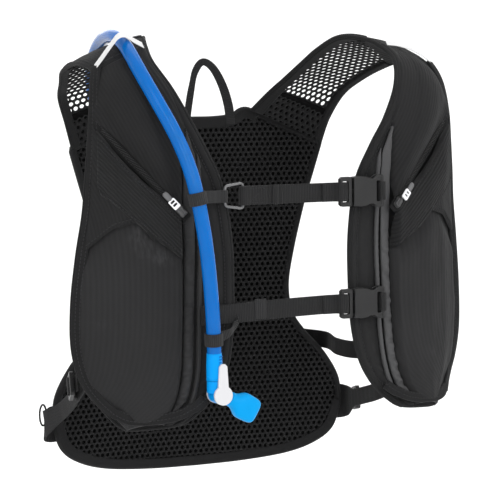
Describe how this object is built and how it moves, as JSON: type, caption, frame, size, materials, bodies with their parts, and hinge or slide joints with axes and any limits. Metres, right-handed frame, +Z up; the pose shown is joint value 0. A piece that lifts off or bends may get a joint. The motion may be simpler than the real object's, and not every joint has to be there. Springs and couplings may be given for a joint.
{
  "type": "hydration vest",
  "caption": "Running hydration vest with a rear reservoir compartment, pocketed front panels, two buckled chest straps and a drinking hose with shut-off valve.",
  "frame": {"origin": "inside top of the haul loop, on the vest's plane of symmetry, where it hangs from a peg", "axes": "+X towards the wearer's left, +Y towards the wearer's back, +Z up"},
  "size_m": [0.3784, 0.2902, 0.4024],
  "materials": {
    "air_mesh": "black spacer mesh with round holes",
    "panel_knit": "matt black ribbed knit",
    "pocket_knit": "matt black stretch knit",
    "ripstop": "black woven shell cloth",
    "satin_piping": "black satin-faced piping",
    "webbing": "black ribbed webbing",
    "elastic": "black ribbed elastic",
    "reflective": "light grey reflective film",
    "buckle_plastic": "moulded black acetal",
    "ring_wire": "black coated wire",
    "zip_tape": "black coil zip",
    "zip_metal": "grey painted zinc",
    "zip_pull": "white and grey moulded pull",
    "hose_blue": "clear blue polyurethane",
    "valve_blue": "blue polypropylene",
    "bite_silicone": "soft blue silicone",
    "lever_white": "near-white acetal",
    "bladder_film": "clear pale blue film"
  },
  "bodies": {
    "vest": {"back_panel": "air_mesh", "shoulder_strap_left": "air_mesh", "shoulder_strap_right": "air_mesh", "front_panel_left": "panel_knit", "front_panel_right": "panel_knit", "zip_pocket_left": "panel_knit", "zip_pocket_right": "panel_knit", "stretch_pocket_left": "pocket_knit", "stretch_pocket_right": "pocket_knit", "piping_left": "satin_piping", "piping_right": "satin_piping", "back_shell": "ripstop", "stash_pocket": "pocket_knit", "haul_loop": "webbing", "reflective_band_left": "reflective", "reflective_band_right": "reflective", "upper_chest_strap": "webbing", "lower_chest_strap": "webbing", "upper_strap_ring": "ring_wire", "hose_keeper_upper": "elastic", "hose_keeper_lower": "elastic", "upper_buckle_socket": "buckle_plastic", "lower_buckle_socket": "buckle_plastic", "upper_buckle_tab": "webbing", "lower_buckle_tab": "webbing", "upper_side_strap_left": "webbing", "upper_side_strap_right": "webbing", "lower_side_strap_left": "webbing", "lower_side_strap_right": "webbing", "ladder_lock_left": "buckle_plastic", "ladder_lock_right": "buckle_plastic", "zip_track_left": "zip_tape", "zip_track_right": "zip_tape", "reservoir": "bladder_film", "fill_neck": "valve_blue", "hose": "hose_blue", "hose_coupler": "valve_blue", "valve_elbow": "valve_blue", "bite_valve": "bite_silicone"},
    "upper_tongue": {"upper_buckle_tongue": "buckle_plastic"},
    "lower_tongue": {"lower_buckle_tongue": "buckle_plastic"},
    "slider_left": {"zip_slider_left": "zip_metal"},
    "slider_right": {"zip_slider_right": "zip_metal"},
    "pull_left": {"zip_pull_left": "zip_pull"},
    "pull_right": {"zip_pull_right": "zip_pull"},
    "shutoff_lever": {"valve_lever": "lever_white"},
    "cap": {"fill_cap": "valve_blue"}
  },
  "joints": [
    {"name": "upper_strap_release", "type": "slide", "parent": "vest", "child": "upper_tongue", "axis": [-1, 0, 0], "range_m": [0, 0.05]},
    {"name": "lower_strap_release", "type": "slide", "parent": "vest", "child": "lower_tongue", "axis": [-1, 0, 0], "range_m": [0, 0.05]},
    {"name": "left_zip_travel", "type": "slide", "parent": "vest", "child": "slider_left", "axis": [0.6371, 0.255, 0.7274], "range_m": [0, 0.065]},
    {"name": "right_zip_travel", "type": "slide", "parent": "vest", "child": "slider_right", "axis": [-0.6371, 0.255, 0.7274], "range_m": [0, 0.065]},
    {"name": "left_pull_swing", "type": "hinge", "parent": "slider_left", "child": "pull_left", "pos_m": [0.10501, -0.2073, -0.11291], "axis": [0.702, 0.1977, -0.6842], "range_deg": [0, 140]},
    {"name": "right_pull_swing", "type": "hinge", "parent": "slider_right", "child": "pull_right", "pos_m": [-0.10501, -0.2073, -0.11291], "axis": [0.702, -0.1977, 0.6842], "range_deg": [0, 140]},
    {"name": "lever_turn", "type": "hinge", "parent": "vest", "child": "shutoff_lever", "pos_m": [-0.075, -0.22, -0.268], "axis": [0, 1, 0], "range_deg": [0, 90]},
    {"name": "fill_cap_turn", "type": "hinge", "parent": "vest", "child": "cap", "pos_m": [0.01, 0.0245, -0.154], "axis": [0, 1, 0], "range_deg": [0, 90]}
  ]
}
